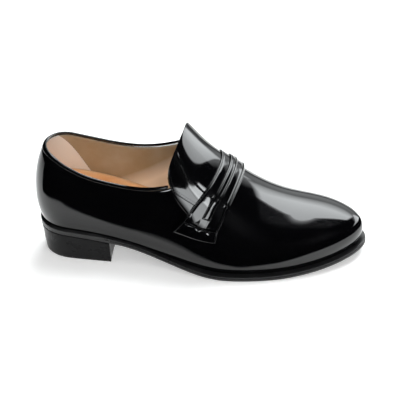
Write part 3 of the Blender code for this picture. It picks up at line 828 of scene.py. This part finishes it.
# Black cloth that stands round the front of the shoe, so that its lacquer mirrors a dark room over a pale
# floor: x and y of its foot and its height, its soft lower edge, and the steps from one row to the next
FLAG = (
    (-0.280, -0.030, 0.090),
    (-0.240, -0.100, 0.090),
    (-0.190, -0.142, 0.090),
    (-0.155, -0.138, 0.090),
    (-0.117, -0.107, 0.090),
    (-0.070, -0.076, 0.090),
    (-0.030, -0.070, 0.084),
    (-0.016, -0.069, 0.066),
    (0.000, -0.069, 0.053),
    (0.012, -0.067, 0.053),
    (0.030, -0.062, 0.077),
    (0.045, -0.058, 0.094),
    (0.070, -0.064, 0.119),
    (0.090, -0.070, 0.140),
    (0.140, -0.086, 0.188),
    (0.200, -0.070, 0.196),
    (0.245, -0.044, 0.180),
    (0.268, 0.000, 0.120),
    (0.245, 0.044, 0.085),
    (0.158, 0.085, 0.020),
)
FLAG_FADE = (0.0, 0.008)
FLAG_STEPS = 12
# Black card that hangs before the tongue: x and z of its lower edge, its place and its upper edge
CARD_LOW = (
    (-0.400, 0.050),
    (-0.075, 0.050),
    (-0.070, 0.140),
    (-0.030, 0.086),
    (0.030, 0.108),
    (0.070, 0.131),
    (0.122, 0.182),
    (0.155, 0.203),
    (0.178, 0.212),
    (0.270, 0.285),
    (1.500, 1.250),
)
CARD_AT = -0.095
CARD_HIGH = 1.60
# Black gauze that cuts the near upper corner off the large softbox: its distance, the gap and the sideways
# steps of its layers, how much light a layer stops, and its corners as shares of the distance
DOOR_REACH = 1.25
DOOR_GAP = 0.002
DOOR_STEPS = (-0.045, -0.015, 0.015, 0.045)
GAUZE_STOPS = 0.6
DOOR = ((-0.43, -0.24), (-0.08, 0.08), (-0.06, 0.60), (-0.90, 0.60), (-0.90, -0.24))


def hide_from_view(piece):
    """Leaves a piece of studio cloth to be seen in reflections only."""
    piece.visible_camera = False
    piece.visible_diffuse = False
    piece.visible_shadow = False


# Velvet: woven pile that gives no light back
flag_cloth, flag_tree, flag_shader = fresh("black_velvet")
shade(flag_shader, Base_Color=linear("#000000"), Roughness=1.0, Specular_IOR_Level=0.0)
flag_where = place(flag_tree, "ShaderNodeTexCoord").outputs["Object"]
flag_split = place(flag_tree, "ShaderNodeSeparateXYZ", {"Vector": flag_where})
flag_rise = place(flag_tree, "ShaderNodeMapRange", {"Value": flag_split.outputs["Z"]},
                  From_Min=FLAG_FADE[0], From_Max=FLAG_FADE[1])
flag_tree.links.new(flag_rise.outputs["Result"], flag_shader.inputs["Alpha"])


def stand(name, foot, cloth):
    """Black cloth that stands on a line on the floor."""
    table = [(index, *spot) for index, spot in enumerate(foot)]
    steps = np.linspace(0, len(foot) - 1, FLAG_STEPS * len(foot))
    x = spline(table, 1)(steps)
    y = spline(table, 2)(steps)
    high = spline(table, 3)(steps)
    points = np.concatenate([np.stack([x, y, 0 * x], 1), np.stack([x, y, high], 1)])
    near = np.arange(len(x) - 1)
    faces = np.stack([near, near + 1, near + 1 + len(x), near + len(x)], 1)
    wall = linked(name, points.tolist(), faces.tolist())
    wall.data.materials.append(cloth)
    hide_from_view(wall)


def hang(name, corners, cloth):
    """Flat sheet of black cloth that hangs between corners."""
    flat = linked(name, corners, [range(len(corners))])
    flat.data.materials.append(cloth)
    hide_from_view(flat)


stand("studio_flag", FLAG, flag_cloth)
card_top = [(x, CARD_AT, CARD_HIGH) for x in (CARD_LOW[-1][0], CARD_LOW[0][0])]
hang("studio_card", [(x, CARD_AT, z) for x, z in CARD_LOW] + card_top, flag_cloth)

# The room round the studio is all but dark
ROOM_LIGHT = 0.004
world = bpy.data.worlds.new("dark_room")
bpy.context.scene.world = world
world.use_nodes = True
shade(world.node_tree.nodes["Background"], Color=linear("#FFFFFF"), Strength=ROOM_LIGHT)

# Lights: name, turn from the shoe's outer side, rise, distance, width, height, tilt, radiance, seen in
# reflections, lights matt surfaces, shares of the width and height that are evenly bright
LIGHTS = (
    ("softbox_back", 160.0, 55.5, 1.30, 1.14, 1.44, 16.0, 8.0, True, True, 0.85, 0.60),
    ("backdrop_high", 160.0, 20.0, 1.60, 1.60, 0.74, 0.0, 1.3, True, True, 1.00, 0.50),
    ("backdrop_low", 160.0, 2.0, 1.60, 1.60, 0.50, 0.0, 0.35, True, True, 1.00, 1.00),
    ("strip_right", 118.0, 10.0, 1.20, 1.44, 0.62, 0.0, 5.2, True, False, 0.90, 0.92),
    ("key_front", 57.0, 41.5, 1.60, 0.98, 0.62, 16.0, 13.0, True, False, 0.80, 0.95),
    ("key_side", 17.0, 20.5, 1.60, 1.90, 0.66, 24.0, 7.5, True, False, 0.60, 0.80),
    ("rim_left", -38.0, 20.0, 1.60, 0.90, 0.45, 0.0, 12.0, True, False, 0.60, 0.60),
    ("front_fill", 22.0, 24.0, 1.00, 1.10, 0.56, 0.0, 2.9, False, True, 1.00, 1.00),
    ("overhead_fill", 0.0, 88.0, 2.40, 3.20, 3.20, 0.0, 0.95, False, True, 1.00, 1.00),
)
# A light with soft edges is this many nested copies, spread over this distance
SOFT_STEPS = 6
SOFT_SPREAD = 0.01
# Colours of the lights that are seen in reflections and of the others
COOL = (0.95, 0.985, 1.0)
WHITE = (1.0, 1.0, 1.0)
LIGHT_AIM = Vector((0.03, 0.0, 0.06))


def towards(turn, rise):
    """Direction at a turn round the shoe from its outer side and a rise from the floor, in degrees."""
    turn = math.radians(turn)
    rise = math.radians(rise)
    return Vector((math.sin(turn) * math.cos(rise), -math.cos(turn) * math.cos(rise), math.sin(rise)))


softbox_way = towards(*LIGHTS[0][1:3])
softbox_facing = softbox_way.to_track_quat("Z", "Y")
# Gauze: open weave, a grey veil in each layer
gauze, _, gauze_shader = fresh("black_gauze")
shade(gauze_shader, Base_Color=linear("#000000"), Roughness=1.0, Specular_IOR_Level=0.0, Alpha=GAUZE_STOPS)
for layer, step in enumerate(DOOR_STEPS):
    layer_reach = DOOR_REACH - DOOR_GAP * layer
    corners = [softbox_way + softbox_facing @ Vector((u + step, v, 0.0)) for u, v in DOOR]
    hang("studio_door_%d" % layer, [LIGHT_AIM + corner * layer_reach for corner in corners], gauze)

for name, turn, rise, reach, width, height, tilt, radiance, mirrored, matt, wide, high in LIGHTS:
    way = towards(turn, rise)
    facing = way.to_track_quat("Z", "Y") @ Quaternion((0.0, 0.0, 1.0), math.radians(tilt))
    steps = 1 if wide == high == 1.0 else SOFT_STEPS
    for step in np.linspace(0.0, 1.0, steps):
        lamp = bpy.data.lights.new(name, "AREA")
        lamp.shape = "RECTANGLE"
        lamp.color = COOL if mirrored else WHITE
        lamp.size = width * (wide + (1.0 - wide) * step)
        lamp.size_y = height * (high + (1.0 - high) * step)
        lamp.energy = math.pi * lamp.size * lamp.size_y * radiance / steps
        light = bpy.data.objects.new(name, lamp)
        bpy.context.scene.collection.objects.link(light)
        light.location = LIGHT_AIM + way * (reach + SOFT_SPREAD * step)
        light.rotation_euler = facing.to_euler()
        light.visible_camera = False
        light.visible_glossy = mirrored
        light.visible_diffuse = matt

# Camera, at its turn, rise and reach from its aim
back = towards(CAMERA_TURN, CAMERA_RISE)
lens = bpy.data.cameras.new("camera")
lens.sensor_width = SENSOR
lens.sensor_fit = "HORIZONTAL"
lens.lens = FOCAL_PIXELS / IMAGE_WIDTH * SENSOR
camera = bpy.data.objects.new("camera", lens)
bpy.context.scene.collection.objects.link(camera)
roll_turn = Matrix.Rotation(math.radians(CAMERA_ROLL), 4, "Z")
camera.matrix_world = (Matrix.Translation(Vector(AIM) + back * CAMERA_REACH)
                       @ back.to_track_quat("Z", "Y").to_matrix().to_4x4() @ roll_turn)
bpy.context.scene.camera = camera
bpy.context.scene.view_settings.view_transform = "Standard"
